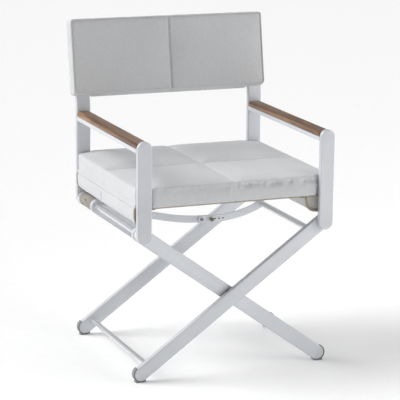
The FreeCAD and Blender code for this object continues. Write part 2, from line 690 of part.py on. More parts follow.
def link(label, face, y, holes):
    """A flat link cut from a plate, with a hole at each (point, radius)."""
    thick = size("link_thickness")
    shape = face.extrude(Y_AXIS * thick)
    for point, radius in holes:
        shape = shape.cut(Part.makeCylinder(radius, 3 * thick, point - Y_AXIS * thick, Y_AXIS))
    item = doc.addObject("Part::Feature", label)
    item.Shape = shape
    item.Placement = place(0, y, 0)
    keep(item, label)


def headed_pin(label, x, y, z, radius, length, head_radius, head_length):
    """A pin whose head is on its front, and whose shank starts at y."""
    pin = doc.addObject("Part::Fuse", label)
    pin.Base = rod(label + "_shank", x, y, z, str(radius), length)
    pin.Tool = rod(label + "_head", x, y - head_length, z, str(head_radius), str(head_length))
    keep(pin, label)


def stay():
    """Two links that stand nearly in line under the seat and fold down at their elbow."""
    right_y = MIDDLE + size("link_plane")
    left_y = right_y + size("link_thickness") + LINK_GAP
    elbow = FreeCAD.Vector(size("elbow_offset"), 0, size("elbow_height"))
    hinge = FreeCAD.Vector(-HINGE_X, 0, HINGE_Z)
    tube_x, tube_z = on_leg("b", size("stay_tube_down"))
    tube = FreeCAD.Vector(tube_x, 0, tube_z)
    around_tube = size("tube_radius") + RUNNING
    lock_step = X_AXIS * size("lock_offset")
    hole_step = X_AXIS * size("hole_pitch")
    lock = elbow + lock_step

    reach = (elbow.x - hinge.x) * STRAIGHT_SHARE
    corner = hinge + FreeCAD.Vector(reach, 0, -reach * math.tan(math.radians(STAY_SLOPE)))
    face = link_face(hinge, corner, elbow, size("lock_offset"))
    link("stay_link_left", face, left_y,
         [(hinge, around_tube), (elbow, RIVET_RADIUS), (lock, LOCK_RADIUS + 2 * RUNNING)])

    face = link_face(elbow, lock + hole_step, tube, 0.01)
    adjusting = [(lock + hole_step * step, ADJUST_RADIUS) for step in (1, 2, 3)]
    link("stay_link_right", face, right_y,
         [(elbow, RIVET_RADIUS), (tube, around_tube), (lock, LOCK_RADIUS + RUNNING)]
         + adjusting)

    headed_pin("stay_elbow_rivet", elbow.x, right_y, elbow.z, RIVET_RADIUS,
               "link_thickness + %s" % (LINK_GAP / 2), RIVET_HEAD_RADIUS, RIVET_HEAD_TALL)
    back_rivet = doc.addObject("Part::Fuse", "stay_elbow_rivet_back")
    back_rivet.Base = rod("back_rivet_shank", elbow.x, left_y, elbow.z, str(RIVET_RADIUS),
                          "link_thickness")
    back_rivet.Tool = rod("back_rivet_head", elbow.x, left_y + size("link_thickness"), elbow.z,
                          str(RIVET_HEAD_RADIUS), str(RIVET_HEAD_TALL))
    keep(back_rivet, "stay_elbow_rivet_back")
    headed_pin("stay_lock_pin", lock.x, right_y - LOCK_STEM, lock.z, LOCK_RADIUS,
               "link_thickness + %s" % LOCK_STEM, KNOB_RADIUS, KNOB_LONG)


# ---- soft pieces -----------------------------------------------------------------------------

def sling(side):
    """Half of the seat's sling, with the sleeve that it wraps around the rail."""
    label = "seat_sling_" + side
    sign = SIDES[side]
    deep = size("seat_depth")
    rail = FreeCAD.Vector(sign * size("rail_offset"), 0, size("rail_height"))
    inner_side = size("sleeve_inner_" + side)
    half_wide = (size("sleeve_outer") - inner_side) / 2
    half_high = size("sleeve_high")
    centre = FreeCAD.Vector(sign * (inner_side + half_wide), 0, size("rail_height"))
    wide_point = centre + X_AXIS * half_wide
    high_point = centre + FreeCAD.Vector(0, 0, half_high)
    if half_wide > half_high:
        ellipse = Part.Ellipse(wide_point, high_point, centre)
    else:
        ellipse = Part.Ellipse(high_point, centre - X_AXIS * half_wide, centre)
    sleeve = Part.Face(Part.Wire([ellipse.toShape()])).extrude(Y_AXIS * deep)
    above = FreeCAD.Vector(centre.x - 2 * half_wide, 0, size("sling_top"))
    top_trim = Part.makeBox(4 * half_wide, deep, half_high, above)
    inner = sign * FREE / 2
    sheet_x = min(inner, centre.x)
    sheet_box = Part.makeBox(abs(centre.x - inner), deep, size("sling_thickness"),
                             FreeCAD.Vector(sheet_x, 0, size("sling_top") - size("sling_thickness")))
    bore = Part.makeCylinder(size("rail_radius") + FREE, deep, rail, Y_AXIS)
    item = doc.addObject("Part::Feature", label)
    item.Shape = sleeve.cut(top_trim).fuse(sheet_box).cut(bore).removeSplitter()
    item.Placement = place(0, MIDDLE - deep / 2, 0)
    keep(item, label)


def soft_block(label, base, rounding, is_soft_edge):
    """A Part box whose outer edges are rounded, as one half of a cushion."""
    doc.recompute()
    soft = doc.addObject("Part::Fillet", label)
    soft.Base = base
    soft.Edges = [(number, rounding, rounding) for number, edge
                  in enumerate(base.Shape.Edges, start=1) if is_soft_edge(edge)]
    return soft


SEAT_ROUND = 6.0        # of the seat cushion's upper edges
BACK_ROUND = 12.0       # of the back cushion's outer edges
POCKET_END = 16.0       # cushion left above the rear post


def seat_cushion(side):
    """Half of the quilted seat cushion.

    Its wide part lies between the posts, its middle runs on past them, and at the rear a tail
    spreads again behind the rear post.
    """
    label = "seat_cushion_" + side
    sign = SIDES[side]
    seam = FREE / 2

    def block(name, half_width, front, length):
        box = doc.addObject("Part::Box", label + name)
        bind(box, Length="%s - %s" % (half_width, seam), Width=length, Height="seat_thickness")
        box.Placement = place(min(sign * size(half_width), sign * seam), MIDDLE - front,
                              size("seat_base"))
        return box

    wide = block("_wide", "seat_half_width", size("seat_depth") / 2, "seat_depth")
    long = block("_long", "seat_inner_half", size("seat_front"), "seat_front + seat_rear")
    tail = block("_tail", "seat_tail_half", size("seat_tail_deep") - size("seat_rear"),
                 "seat_tail_deep")
    both = doc.addObject("Part::MultiFuse", label + "_blank")
    both.Shapes = [wide, long, tail]
    both.Refine = True
    base = size("seat_base")
    keep(soft_block(label, both, SEAT_ROUND,
                    lambda edge: edge.BoundBox.ZMin > base + 1 and edge.BoundBox.ZLength < 1
                    and abs(edge.CenterOfMass.x) > 1), label)


def back_cushion(side):
    """Half of the back cushion: a sleeve over the leaning part of a rear post."""
    label = "back_cushion_" + side
    sign = SIDES[side]
    thick = size("bar_thickness")
    box = doc.addObject("Part::Box", label + "_box")
    bind(box, Length="back_half_width - %s" % (FREE / 2), Width="back_thickness",
         Height="back_tall")
    box.Placement = place(min(sign * size("back_half_width"), sign * FREE / 2),
                          -size("back_thickness") / 2, 0)
    soft = soft_block(label + "_soft", box, BACK_ROUND,
                      lambda edge: abs(edge.CenterOfMass.x) > 0.9 * size("back_half_width")
                      or edge.BoundBox.XLength > 1)
    pocket = doc.addObject("Part::Box", label + "_pocket")
    bind(pocket, Length="bar_width + %s" % (2 * FREE), Width="bar_thickness + %s" % (2 * FREE))
    pocket.Height = size("back_tall") - POCKET_END
    pocket.Placement = place(sign * HINGE_X - size("bar_width") / 2 - FREE, -thick / 2 - FREE, -1)
    cut = doc.addObject("Part::Cut", label)
    cut.Base = soft
    cut.Tool = pocket
    lean = size("recline")
    x, y, z = back_origin()
    cut.Placement = place(x, y, z, X_AXIS, -lean)
    keep(cut, label)


def back_origin():
    """Middle of the back cushion's lower edge, on the leaning posts' centre plane."""
    lean = math.radians(size("recline"))
    radius = size("bend_radius")
    middle = radius - size("bar_thickness") / 2
    bend_y = REAR_POST + radius - middle * math.cos(lean)
    bend_z = size("recline_height") + middle * math.sin(lean)
    up = (size("back_bottom") - bend_z) / math.cos(lean)
    return 0.0, bend_y + up * math.sin(lean), size("back_bottom")


# ---- build and write ---------------------------------------------------------------------------

def build():
    for side in SIDES:
        front_post(side)
        rear_post(side)
        arm_channel(side)
        armrest(side)
        arm_screws(side)
        seat_rail(side)
        sling(side)
        seat_cushion(side)
        back_cushion(side)
    for frame, where, y in (("a", "front", INNER_FRONT), ("a", "rear", INNER_REAR),
                            ("b", "front", OUTER_FRONT), ("b", "rear", OUTER_REAR)):
        leg(frame, where, y)
        foot_cap(frame, where, y)
    cross_tubes()
    hinge_pins()
    hinge_spacers()
    set_screw()
    crossing_pins()
    stay()
    doc.recompute()


def check():
    for item in doc.Objects:
        if "Invalid" in item.State or "Error" in item.State:
            raise RuntimeError("%s failed: %s" % (item.Name, item.State))
    for item in nodes:
        if item.Shape.isNull() or not item.Shape.isValid():
            raise RuntimeError("bad shape in " + item.Label)


def export():
    os.makedirs(PARTS_FOLDER, exist_ok=True)
    box = FreeCAD.BoundBox()
    for item in nodes:
        item.Shape.exportStep(os.path.join(PARTS_FOLDER, item.Label + ".step"))
        box.add(item.Shape.BoundBox)
        print("%-26s solids %d volume %.0f" % (item.Label, len(item.Shape.Solids), item.Shape.Volume))
    print("nodes", len(nodes), "box", box)


build()
check()
export()
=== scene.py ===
"""Folding director chair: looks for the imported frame, in metres, in the same axes.

The frame keeps its CAD shapes and gets procedural materials.  Each cushion is one block whose
cloth is blown out from its seams by a cloth simulation.  The sling follows its own outline.
"""
import bpy
import bmesh
import math
from mathutils import Matrix, Vector, noise


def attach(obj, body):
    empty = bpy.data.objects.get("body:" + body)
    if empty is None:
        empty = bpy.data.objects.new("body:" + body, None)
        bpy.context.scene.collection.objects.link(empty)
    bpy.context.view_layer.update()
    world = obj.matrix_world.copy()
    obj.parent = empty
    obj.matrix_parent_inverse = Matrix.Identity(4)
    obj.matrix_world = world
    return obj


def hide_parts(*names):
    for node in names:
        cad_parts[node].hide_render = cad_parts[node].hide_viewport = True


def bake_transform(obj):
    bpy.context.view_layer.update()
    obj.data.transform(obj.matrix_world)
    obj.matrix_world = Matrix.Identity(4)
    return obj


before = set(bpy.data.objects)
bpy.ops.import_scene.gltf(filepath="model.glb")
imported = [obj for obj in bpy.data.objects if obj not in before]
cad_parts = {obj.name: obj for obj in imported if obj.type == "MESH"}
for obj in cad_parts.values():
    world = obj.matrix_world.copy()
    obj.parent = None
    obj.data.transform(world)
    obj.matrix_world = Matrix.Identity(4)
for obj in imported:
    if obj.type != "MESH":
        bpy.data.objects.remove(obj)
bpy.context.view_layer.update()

MM = 0.001
SHIFT = -26.5 * MM          # y of the side frames' middle
POST_X = 261.2 * MM
POST_HALF = 20.0 * MM
POST_FACE = 241.5 * MM      # inner faces of front and rear posts, from SHIFT
POST_BACK = 256.5 * MM      # their outer faces, from SHIFT
RAIL_X = 262.0 * MM
RAIL_Z = 462.0 * MM
ALONG_X = Vector((1, 0, 0))
ALONG_Y = Vector((0, 1, 0))


# ---- node helpers ---------------------------------------------------------------------------

class Nodes:
    """Short ways to build one material's node tree."""

    def __init__(self, name):
        self.material = bpy.data.materials.new(name)
        self.material.use_nodes = True
        self.tree = self.material.node_tree
        self.tree.nodes.clear()
        output = self.tree.nodes.new("ShaderNodeOutputMaterial")
        self.shader = self.tree.nodes.new("ShaderNodeBsdfPrincipled")
        self.link(self.shader.outputs[0], output.inputs["Surface"])

    def link(self, source, target):
        self.tree.links.new(source, target)

    def set(self, node, values):
        for key, value in values.items():
            socket = node.inputs[key]
            if isinstance(value, bpy.types.NodeSocket):
                self.link(value, socket)
            else:
                socket.default_value = value
        return node

    def principled(self, **values):
        self.set(self.shader, {key.replace("_", " "): value for key, value in values.items()})

    def coordinates(self, scale=(1, 1, 1), turn=(0, 0, 0)):
        place = self.tree.nodes.new("ShaderNodeTexCoord")
        mapping = self.tree.nodes.new("ShaderNodeMapping")
        mapping.inputs["Scale"].default_value = scale
        mapping.inputs["Rotation"].default_value = turn
        self.link(place.outputs["Object"], mapping.inputs["Vector"])
        return mapping.outputs[0]

    def noise(self, vector, scale, detail, rough=0.5, warp=0.0):
        node = self.tree.nodes.new("ShaderNodeTexNoise")
        self.set(node, {"Vector": vector, "Scale": scale, "Detail": detail, "Roughness": rough,
                        "Distortion": warp})
        return node.outputs["Fac"]

    def math(self, operation, first, second=0.0, third=None):
        node = self.tree.nodes.new("ShaderNodeMath")
        node.operation = operation
        values = {0: first, 1: second}
        if third is not None:
            values[2] = third
        return self.set(node, values).outputs[0]

    def blended(self, first, first_share, second, second_share):
        """Two values added up, each times its share."""
        return self.math("ADD", self.math("MULTIPLY", first, first_share),
                         self.math("MULTIPLY", second, second_share))

    def scaled(self, value, gain, offset):
        """Value times gain, plus offset."""
        return self.math("MULTIPLY_ADD", value, gain, offset)

    def ramp(self, fac, stops):
        node = self.tree.nodes.new("ShaderNodeValToRGB")
        points = node.color_ramp.elements
        while len(points) < len(stops):
            points.new(0.5)
        for point, (place, colour) in zip(points, stops):
            point.position = place
            point.color = (*colour, 1.0)
        self.link(fac, node.inputs["Fac"])
        return node.outputs["Color"]

    def mix(self, fac, first, second, blend="MIX"):
        node = self.tree.nodes.new("ShaderNodeMix")
        node.data_type = "RGBA"
        node.blend_type = blend
        for number, value in ((0, fac), (6, first), (7, second)):
            if isinstance(value, bpy.types.NodeSocket):
                self.link(value, node.inputs[number])
            else:
                node.inputs[number].default_value = value if number == 0 else (*value, 1.0)
        return node.outputs[2]

    def bump(self, height, depth, strength, over=None):
        node = self.tree.nodes.new("ShaderNodeBump")
        self.set(node, {"Height": height, "Distance": depth, "Strength": strength})
        if over is not None:
            self.link(over, node.inputs["Normal"])
        return node.outputs[0]

    def edges(self, low=0.5, high=0.62):
        """0 on flat stretches and 1 along outer edges."""
        geometry = self.tree.nodes.new("ShaderNodeNewGeometry")
        spread = self.tree.nodes.new("ShaderNodeMapRange")
        self.set(spread, {"Value": geometry.outputs["Pointiness"], "From Min": low,
                          "From Max": high})
        return spread.outputs[0]

    def paler_edges(self, colour, light, share, gain):
        """Colour, with up to share of a gain times lighter tone along outer edges."""
        pale = tuple(min(1, channel * gain) for channel in light)
        return self.mix(self.math("MULTIPLY", self.edges(), share), colour, pale)


# ---- materials ------------------------------------------------------------------------------

def coated_metal(name, dark, light, metallic, roughness):
    """Satin powder coat over aluminium: fine orange peel, faint clouding, paler edges."""
    m = Nodes(name)
    place = m.coordinates()
    cloud = m.noise(place, scale=9.0, detail=3.0)
    colour = m.ramp(cloud, [(0.3, dark), (0.7, light)])
    worn = m.paler_edges(colour, light, share=0.5, gain=1.25)
    speck = m.noise(place, scale=900.0, detail=2.0)
    rough = m.scaled(speck, 0.12, roughness - 0.06)
    peel = m.bump(m.noise(place, scale=520.0, detail=2.0), depth=0.12 * MM, strength=0.35)
    m.principled(Base_Color=worn, Metallic=metallic, Roughness=rough, Normal=peel)
    return m.material


def bright_tube():
    """Drawn aluminium tube, with fine lines along it."""
    m = Nodes("bright_aluminium")
    lines = m.noise(m.coordinates((420, 3, 420)), scale=1.0, detail=2.0)
    colour = m.ramp(lines, [(0.3, (0.74, 0.75, 0.77)), (0.7, (0.82, 0.83, 0.85))])
    m.principled(Base_Color=colour, Metallic=0.8, Roughness=m.scaled(lines, 0.1, 0.24),
                 Normal=m.bump(lines, depth=0.02 * MM, strength=0.25))
    return m.material


def teak():
    """Oiled teak with its grain along y: broad growth bands, fine pores, darker streaks."""
    m = Nodes("teak")
    along = m.coordinates((34, 2.4, 34), (0.12, 0.05, 0.3))
    bands = m.noise(along, scale=1.0, detail=5.0, rough=0.62, warp=0.6)
    streaks = m.noise(m.coordinates((230, 5.0, 230)), scale=1.0, detail=3.0, rough=0.6)
    pores = m.noise(m.coordinates((900, 26, 900)), scale=1.0, detail=2.0)
    figure = m.blended(bands, 0.55, streaks, 0.45)
    colour = m.ramp(figure, [(0.38, (0.042, 0.018, 0.007)), (0.46, (0.125, 0.058, 0.024)),
                             (0.54, (0.235, 0.125, 0.058)), (0.66, (0.40, 0.245, 0.13))])
    pore_mask = m.ramp(pores, [(0.32, (0.45, 0.40, 0.36)), (0.44, (1, 1, 1))])
    colour = m.mix(0.8, colour, pore_mask, "MULTIPLY")
    height = m.math("ADD", pores, m.math("MULTIPLY", streaks, 0.5))
    m.principled(Base_Color=colour, Roughness=m.scaled(streaks, 0.2, 0.26),
                 Normal=m.bump(height, depth=0.18 * MM, strength=0.5),
                 Coat_Weight=0.2, Coat_Roughness=0.3)
    return m.material


def woven(name, dark, light, pitch, depth, sheen, mottle=0.35):
    """Plain weave of threads pitch apart, over a soft change of tone, on any side of a piece."""
    m = Nodes(name)
    place = m.coordinates()
    split = m.tree.nodes.new("ShaderNodeSeparateXYZ")
    m.link(place, split.inputs[0])
    x, y, z = split.outputs
    facing = m.tree.nodes.new("ShaderNodeTexCoord")
    normal = m.tree.nodes.new("ShaderNodeSeparateXYZ")
    m.link(facing.outputs["Normal"], normal.inputs[0])
    sideways = m.math("GREATER_THAN", m.math("ABSOLUTE", normal.outputs[0]), 0.75)
    upward = m.math("GREATER_THAN", m.math("ABSOLUTE", normal.outputs[2]), 0.6)
    first = m.blended(x, m.math("SUBTRACT", 1.0, sideways), y, sideways)
    second = m.blended(z, m.math("SUBTRACT", 1.0, upward), y, upward)
    turn = 2.0 * math.pi / pitch
    warp = m.math("SINE", m.math("MULTIPLY", first, turn))
    weft = m.math("SINE", m.math("MULTIPLY", second, turn))
    cloth = m.scaled(m.math("MULTIPLY", warp, weft), 0.5, 0.5)
    slub = m.noise(place, scale=0.3 / pitch, detail=3.0)
    broad = m.noise(place, scale=7.0, detail=4.0)
    tone = m.blended(broad, mottle, slub, 1 - mottle)
    colour = m.ramp(tone, [(0.32, dark), (0.68, light)])
    shade = m.ramp(cloth, [(0.0, (0.86, 0.86, 0.86)), (0.5, (1, 1, 1))])
    colour = m.mix(0.7, colour, shade, "MULTIPLY")
    fine = m.bump(cloth, depth, strength=0.5)
    fuzz = m.bump(m.noise(place, scale=260.0, detail=4.0), depth * 1.6, strength=0.35, over=fine)
    m.principled(Base_Color=colour, Roughness=m.scaled(slub, 0.15, 0.78), Normal=fuzz,
                 Sheen_Weight=sheen, Sheen_Roughness=0.5)
    return m.material


def moulded(name, dark, light, roughness, grain, depth, shine=0.5):
    """Moulded or cast piece with a fine spark-eroded grain."""
    m = Nodes(name)
    place = m.coordinates()
    speck = m.noise(place, scale=grain, detail=3.0, rough=0.6)
    cloud = m.noise(place, scale=40.0, detail=2.0)
    colour = m.ramp(m.blended(speck, 0.65, cloud, 0.35), [(0.35, dark), (0.65, light)])
    rubbed = m.paler_edges(colour, light, share=0.35, gain=1.6)
    m.principled(Base_Color=rubbed, Roughness=m.scaled(speck, 0.2, roughness - 0.1),
                 Normal=m.bump(speck, depth, strength=0.5), Specular_IOR_Level=shine)
    return m.material


def stitched():
    """Grey sewing thread with a fine twist."""
    m = Nodes("thread")
    twist = m.noise(m.coordinates(), scale=1400.0, detail=2.0)
    colour = m.ramp(twist, [(0.3, (0.24, 0.24, 0.235)), (0.7, (0.36, 0.36, 0.35))])
    m.principled(Base_Color=colour, Roughness=0.7,
                 Normal=m.bump(twist, depth=0.1 * MM, strength=0.6))
    return m.material


FRAME_COAT = coated_metal("powder_coat", (0.56, 0.575, 0.605), (0.62, 0.635, 0.665),
                          metallic=0.3, roughness=0.42)
TUBE = bright_tube()
TEAK = teak()
SEAT_CLOTH = woven("cushion_cloth", (0.565, 0.57, 0.58), (0.635, 0.64, 0.65),
                   pitch=1.3 * MM, depth=0.22 * MM, sheen=0.2)
SLING_CLOTH = woven("sling_cloth", (0.50, 0.49, 0.46), (0.60, 0.59, 0.56),
                    pitch=1.6 * MM, depth=0.3 * MM, sheen=0.1)
BINDING = woven("binding_tape", (0.31, 0.265, 0.20), (0.42, 0.37, 0.29),
                pitch=1.1 * MM, depth=0.3 * MM, sheen=0.1)
THREAD = stitched()
RUBBER = moulded("foot_rubber", (0.12, 0.13, 0.127), (0.20, 0.212, 0.208),
                 roughness=0.55, grain=700.0, depth=0.2 * MM)
# Near-black nylon for the spacers and washers, also used as painted shade in the drum's screw
# hole and the link's adjusting holes.
NYLON_AND_SHADE = moulded("nylon_and_painted_shade", (0.012, 0.012, 0.013), (0.035, 0.035, 0.037),
                roughness=0.6, grain=800.0, depth=0.1 * MM, shine=0.1)
CASTING = moulded("grey_casting", (0.07, 0.066, 0.058), (0.29, 0.272, 0.238),
                  roughness=0.55, grain=420.0, depth=0.3 * MM)
PIN_STEEL = coated_metal("pin_steel", (0.50, 0.50, 0.51), (0.66, 0.66, 0.67),
                         metallic=0.95, roughness=0.28)
BRASS = coated_metal("aged_brass", (0.07, 0.066, 0.038), (0.17, 0.162, 0.10),
                     metallic=0.6, roughness=0.4)
RIVET = coated_metal("zinc_rivet", (0.19, 0.19, 0.20), (0.27, 0.27, 0.28),
                     metallic=0.4, roughness=0.45)

OWN_MATERIAL = {
    # the drum's set screw is black, and its black also stands as painted shade in the recess of
    # its hole
    "hinge_drum_rear_left": CASTING, "drum_set_screw": NYLON_AND_SHADE, "cross_spacer_front": NYLON_AND_SHADE,
    "hinge_washer_front_right": NYLON_AND_SHADE, "hinge_washer_rear_right": NYLON_AND_SHADE,
    "cross_spacer_rear": FRAME_COAT, "hinge_spacer_front_left": FRAME_COAT,
    "hinge_ring_rear_left": TUBE, "stay_lock_pin": BRASS, "stay_elbow_rivet": RIVET,
    "foot_tube_a": TUBE, "foot_tube_b": TUBE, "hinge_tube_a": TUBE, "stay_tube_b": TUBE,
}


def dress_frame():
    """Give every CAD node its material."""
    for name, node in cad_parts.items():
        material = FRAME_COAT
        if name in OWN_MATERIAL:
            material = OWN_MATERIAL[name]
        elif name.startswith("armrest"):
            material = TEAK
        elif name.startswith("foot_cap"):
            material = RUBBER
        elif "pin" in name or "screw" in name or "rivet" in name:
            material = PIN_STEEL
        elif name.startswith(("seat_cushion", "back_cushion", "seat_sling")):
            material = SEAT_CLOTH
        node.data.materials.clear()
        node.data.materials.append(material)


# ---- mesh helpers ---------------------------------------------------------------------------

VOXEL = 4.5 * MM
BEVEL_STEPS = 4
CLOTH_FRAMES = 20
STRIP_SECTION = [(1.0, 0.0), (0.8, 0.8), (0.0, 1.0), (-0.8, 0.8), (-1.0, 0.0), (-0.8, -0.8),
                 (0.0, -1.0), (0.8, -0.8)]


def mesh_object(name, vertices, faces, material, smooth=True):
    mesh = bpy.data.meshes.new(name)
    mesh.from_pydata([tuple(v) for v in vertices], [], faces)
    mesh.materials.append(material)
    for polygon in mesh.polygons:
        polygon.use_smooth = smooth
    mesh.update()
    item = bpy.data.objects.new(name, mesh)
    bpy.context.scene.collection.objects.link(item)
    return item


def apply_modifiers(item):
    bpy.context.view_layer.update()
    graph = bpy.context.evaluated_depsgraph_get()
    done = bpy.data.meshes.new_from_object(item.evaluated_get(graph))
    item.modifiers.clear()
    old = item.data
    item.data = done
    bpy.data.meshes.remove(old)


def smooth_faces(item):
    for polygon in item.data.polygons:
        polygon.use_smooth = True


def slab(name, outline, low, high, bevel, low_bevel, material):
    """A closed block over an outline, its edges rounded by bevel, and below by low_bevel."""
    count = len(outline)
    vertices = [(x, y, low) for x, y in outline] + [(x, y, high) for x, y in outline]
    faces = [tuple(reversed(range(count))), tuple(range(count, 2 * count))]
    faces += [(i, (i + 1) % count, count + (i + 1) % count, count + i) for i in range(count)]
    item = mesh_object(name, vertices, faces, material)
    middle = (low + high) / 2
    mesh = bmesh.new()
    mesh.from_mesh(item.data)
    for radius, is_low in ((bevel, False), (low_bevel, True)):
        edges = [edge for edge in mesh.edges
                 if all(v.co.z < middle for v in edge.verts) == is_low]
        bmesh.ops.bevel(mesh, geom=edges, offset=radius, segments=BEVEL_STEPS, profile=0.5,
                        affect="EDGES", clamp_overlap=True)
    mesh.to_mesh(item.data)
    mesh.free()
    remesh = item.modifiers.new("remesh", "REMESH")
    remesh.mode = "VOXEL"
    remesh.voxel_size = VOXEL
    apply_modifiers(item)
    return item


def inflate(item, pinned, cap, pressure, slack):
    """Blow the cloth of item outwards from its pinned seams, by at most cap."""
    start = [v.co.copy() for v in item.data.vertices]
    weights = [pinned(co) for co in start]
    group = item.vertex_groups.new(name="seams")
    for index, weight in enumerate(weights):
        if weight > 0:
            group.add([index], weight, "REPLACE")
    cloth = item.modifiers.new("cloth", "CLOTH")
    settings = cloth.settings
    settings.quality = 5
    settings.mass = 0.3
    settings.tension_stiffness = 18.0
    settings.compression_stiffness = 18.0
    settings.shear_stiffness = 6.0
    settings.bending_stiffness = 0.25
    settings.use_pressure = True
    settings.uniform_pressure_force = pressure
    settings.shrink_min = -slack
    settings.effector_weights.gravity = 0.0
    settings.vertex_group_mass = "seams"
    settings.pin_stiffness = 1.0
    cloth.collision_settings.use_collision = False
    cloth.point_cache.frame_start = 1
    cloth.point_cache.frame_end = CLOTH_FRAMES
    for number in range(1, CLOTH_FRAMES + 1):
        bpy.context.scene.frame_set(number)
    apply_modifiers(item)
    bpy.context.scene.frame_set(1)
    item.vertex_groups.clear()
    for vertex, co, weight in zip(item.data.vertices, start, weights):
        move = vertex.co - co
        limit = cap * (1.0 - weight)
        if move.length > limit:
            vertex.co = co + move * (limit / move.length)


def subdivide(item):
    modifier = item.modifiers.new("smooth", "SUBSURF")
    modifier.levels = 1
    modifier.render_levels = 1
    apply_modifiers(item)
    smooth_faces(item)


def valley(distance, width):
    """1 on a seam, falling to 0 away from it."""
    return math.exp(-(distance / width) ** 2)


def smooth_step(share):
    """0 below 0, 1 above 1, and a soft rise between them."""
    share = min(1.0, max(0.0, share))
    return share * share * (3 - 2 * share)


def ribbon(name, path, half_width, half_thick, across, material, closed=False):
    """A strip with rounded sides along path, its width in the direction across."""
    vertices = []
    count = len(path)
    for index, point in enumerate(path):
        ahead = path[(index + 1) % count] if closed or index < count - 1 else path[index]
        behind = path[index - 1] if closed or index > 0 else path[index]
        tangent = (ahead - behind).normalized()
        wide = (across - tangent * across.dot(tangent)).normalized()
        thick = tangent.cross(wide)
        for wide_share, thick_share in STRIP_SECTION:
            vertices.append(point + wide * (wide_share * half_width)
                            + thick * (thick_share * half_thick))
    sides = len(STRIP_SECTION)
    faces = []
    for ring in range(count if closed else count - 1):
        here, there = ring * sides, (ring + 1) % count * sides
        for side in range(sides):
            turned = (side + 1) % sides
            faces.append((here + side, here + turned, there + turned, there + side))
    if not closed:
        faces.append(tuple(range(sides - 1, -1, -1)))
        faces.append(tuple((count - 1) * sides + side for side in range(sides)))
    return mesh_object(name, vertices, faces, material)


# ---- seat cushion ---------------------------------------------------------------------------

SEAT_BASE = 475.0 * MM
SEAT_TOP = 534.0 * MM
SEAT_TALL = SEAT_TOP - SEAT_BASE
SEAT_SIDE = 280.5 * MM      # half width between the posts
SEAT_INNER = 236.0 * MM     # half width beside the posts
SEAT_TAIL = 268.0 * MM      # half width of the tail, the part behind the rear posts
SEAT_FRONT = SHIFT - 246.0 * MM
SEAT_REAR = SHIFT + 268.0 * MM
SEAT_LOBE_FRONT = SHIFT - 237.0 * MM        # the lobes lie between the posts
SEAT_LOBE_REAR = SHIFT + 236.0 * MM
SEAT_BEHIND = SHIFT + 259.0 * MM            # front of the tail
SEAT_MIDDLE_Y = (SEAT_FRONT + SEAT_REAR) / 2
SEAT_HALF_DEEP = (SEAT_REAR - SEAT_FRONT) / 2
SEAT_ROUND = 14.0 * MM
SEAT_LOW_ROUND = 1.5 * MM
SEAT_FLUSH = 281.9 * MM     # where the cushion's lower side edge meets the sleeve
FLUSH_TALL = 9.0 * MM
FLUSH_WIDE = 4.0 * MM

SHAPED_FROM = 0.3           # share of the height where crown and seams begin
SEAT_CROWN = 2.5 * MM
RIM_DROP = 4.0 * MM
SEAT_SEAM_Y = SHIFT + 2.0 * MM
SEAM_SINK = 6.5 * MM        # broad hollow along the seams, before the cloth is blown out
SEAM_WIDE = 15.0 * MM
CREASE_DEPTH = 3.5 * MM     # sharp crease in the seams, after it
CREASE_WIDE = 2.8 * MM
CREASE_FROM = 0.75          # share of the height

SEAT_PIN_TALL = 5.0 * MM    # the underside is held up to this height
SEAM_PIN_FROM = 0.6         # and the seams from this share of the height
SEAM_PIN_WIDE = 6.0 * MM
RIM_PIN_DOWN = 8.0 * MM
RIM_PIN_WIDE = 5.0 * MM
RIM_PIN_SHARE = 0.55
SEAT_SWELL = 5.0 * MM
SEAT_PRESSURE = 3.0
CLOTH_SLACK = 0.004

TUCK_DOWN = 15.5 * MM       # middle of the gathers, below the top
TUCK_WIDE = 8.5 * MM
TUCK_DEPTH = 8.0 * MM
TUCK_EVEN = 0.55            # even part of the gathers, beside their noise
TUCK_WAVES = (44.0, 26.0)   # of that noise, along x and z
TUCK_FINE_WAVES = (105.0, 50.0)
TUCK_FINE_SHARE = 0.4
TUCK_START = SEAT_FRONT - 4.0 * MM
TUCK_FULL = 8.0 * MM        # full depth up to here behind TUCK_START, and none twice as far
TUCK_LESS_LEFT = 0.35       # the gathers are 1 deep on the right, less twice this on the left
TUCK_TURN_X = -70.0 * MM    # where the gathers go from weak to strong
TUCK_TURN_WIDE = 90.0 * MM
SCALLOP = 1.4 * MM          # waviness of the front's top edge
SCALLOP_DOWN = 2.0 * MM
SCALLOP_WIDE = 5.0 * MM
SCALLOP_WAVES = 48.0
POST_FREE = 1.0 * MM


def seat_seam(co, width):
    """1 on the two seams that cross in the middle of the seat, falling to 0 away from them."""
    return max(valley(co.x, width), valley(co.y - SEAT_SEAM_Y, width))


def seat_shares(co):
    """How far a point is towards the seat's side and its front or rear, 1 at the edge."""
    return abs(co.x) / SEAT_SIDE, abs(co.y - SEAT_MIDDLE_Y) / SEAT_HALF_DEEP


def seat_shape(co):
    """Low crown on each of the four panels, seams between them, and sides that run lower."""
    up = (co.z - SEAT_BASE) / SEAT_TALL
    if up < SHAPED_FROM:
        return co
    lift = (up - SHAPED_FROM) / (1 - SHAPED_FROM)
    aside, along = seat_shares(co)
    crown = SEAT_CROWN * (1 - aside ** 4) * (1 - along ** 4)
    sink = SEAM_SINK * seat_seam(co, SEAM_WIDE) * (1 - 0.9 * max(aside, along) ** 6)
    edge = RIM_DROP * max(aside ** 8, along ** 8)
    return Vector((co.x, co.y, co.z + lift * (crown - sink - edge)))


def seat_pinned(co):
    """How firmly the cloth simulation holds a point: underside, seams and upper rim."""
    if co.z < SEAT_BASE + SEAT_PIN_TALL:
        return 1.0
    on_top = co.z > SEAT_BASE + SEAM_PIN_FROM * SEAT_TALL
    seam = seat_seam(co, SEAM_PIN_WIDE) if on_top else 0.0
    rim = RIM_PIN_SHARE * valley(co.z - (SEAT_TOP - RIM_PIN_DOWN), RIM_PIN_WIDE)
    return min(1.0, max(seam, rim))


